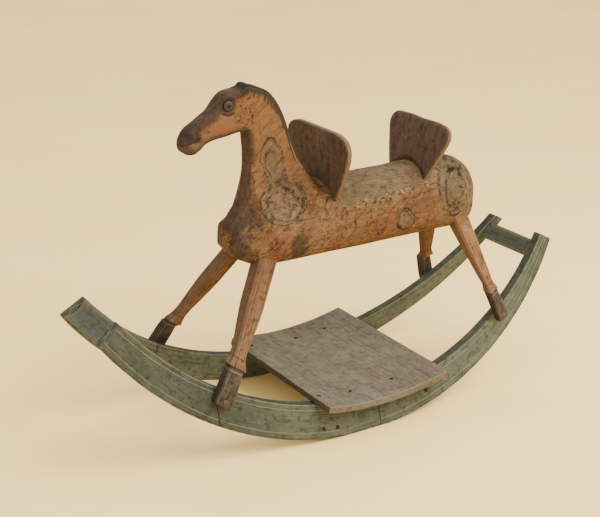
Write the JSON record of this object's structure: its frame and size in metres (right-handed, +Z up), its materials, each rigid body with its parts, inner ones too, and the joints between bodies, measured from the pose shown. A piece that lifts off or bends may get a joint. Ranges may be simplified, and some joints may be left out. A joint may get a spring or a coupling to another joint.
{
  "type": "rocking horse",
  "caption": "Wooden rocking horse with a log body, plank neck and head, splayed legs, two saddle boards and a footboard on curved rockers.",
  "frame": {"origin": "middle of the footprint, on the floor under the rockers", "axes": "+X towards the head, +Y the horse's left, +Z up"},
  "size_m": [1.2692, 0.476, 0.822],
  "materials": {
    "body_paint": "worn ochre and orange paint over wood",
    "head_paint": "worn orange paint over wood, dark on the nose and mane",
    "leg_paint": "worn orange-tan paint, dark hooves",
    "board_wood": "dark red-brown stained wood, bare tan edges",
    "rocker_paint": "worn olive green paint with yellow lines",
    "footboard_wood": "weathered grey-brown wood",
    "peg_wood": "dark wood",
    "iron": "dark oxidised iron",
    "eye_paint": "painted bead, grey ring round a dark centre"
  },
  "bodies": {
    "root": {"body_log": "body_paint", "neck_and_head": "head_paint", "bit_peg": "peg_wood", "saddle_board_front": "board_wood", "saddle_board_rear": "board_wood", "front_crossboard": "rocker_paint", "rear_crossbar": "rocker_paint", "footboard": "footboard_wood", "footboard_nail_1": "iron", "footboard_nail_2": "iron", "footboard_nail_3": "iron", "footboard_nail_4": "iron", "footboard_nail_5": "iron", "footboard_nail_6": "iron", "rocker_nail_1": "iron", "rocker_nail_2": "iron", "rocker_nail_3": "iron", "eye_left": "eye_paint", "rocker_left_front": "rocker_paint", "rocker_left_middle": "rocker_paint", "rocker_left_rear": "rocker_paint", "leg_front_left": "leg_paint", "leg_peg_front_left": "peg_wood", "leg_rear_left": "leg_paint", "leg_peg_rear_left": "peg_wood", "eye_right": "eye_paint", "rocker_right_front": "rocker_paint", "rocker_right_middle": "rocker_paint", "rocker_right_rear": "rocker_paint", "leg_front_right": "leg_paint", "leg_peg_front_right": "peg_wood", "leg_rear_right": "leg_paint", "leg_peg_rear_right": "peg_wood"}
  },
  "joints": []
}
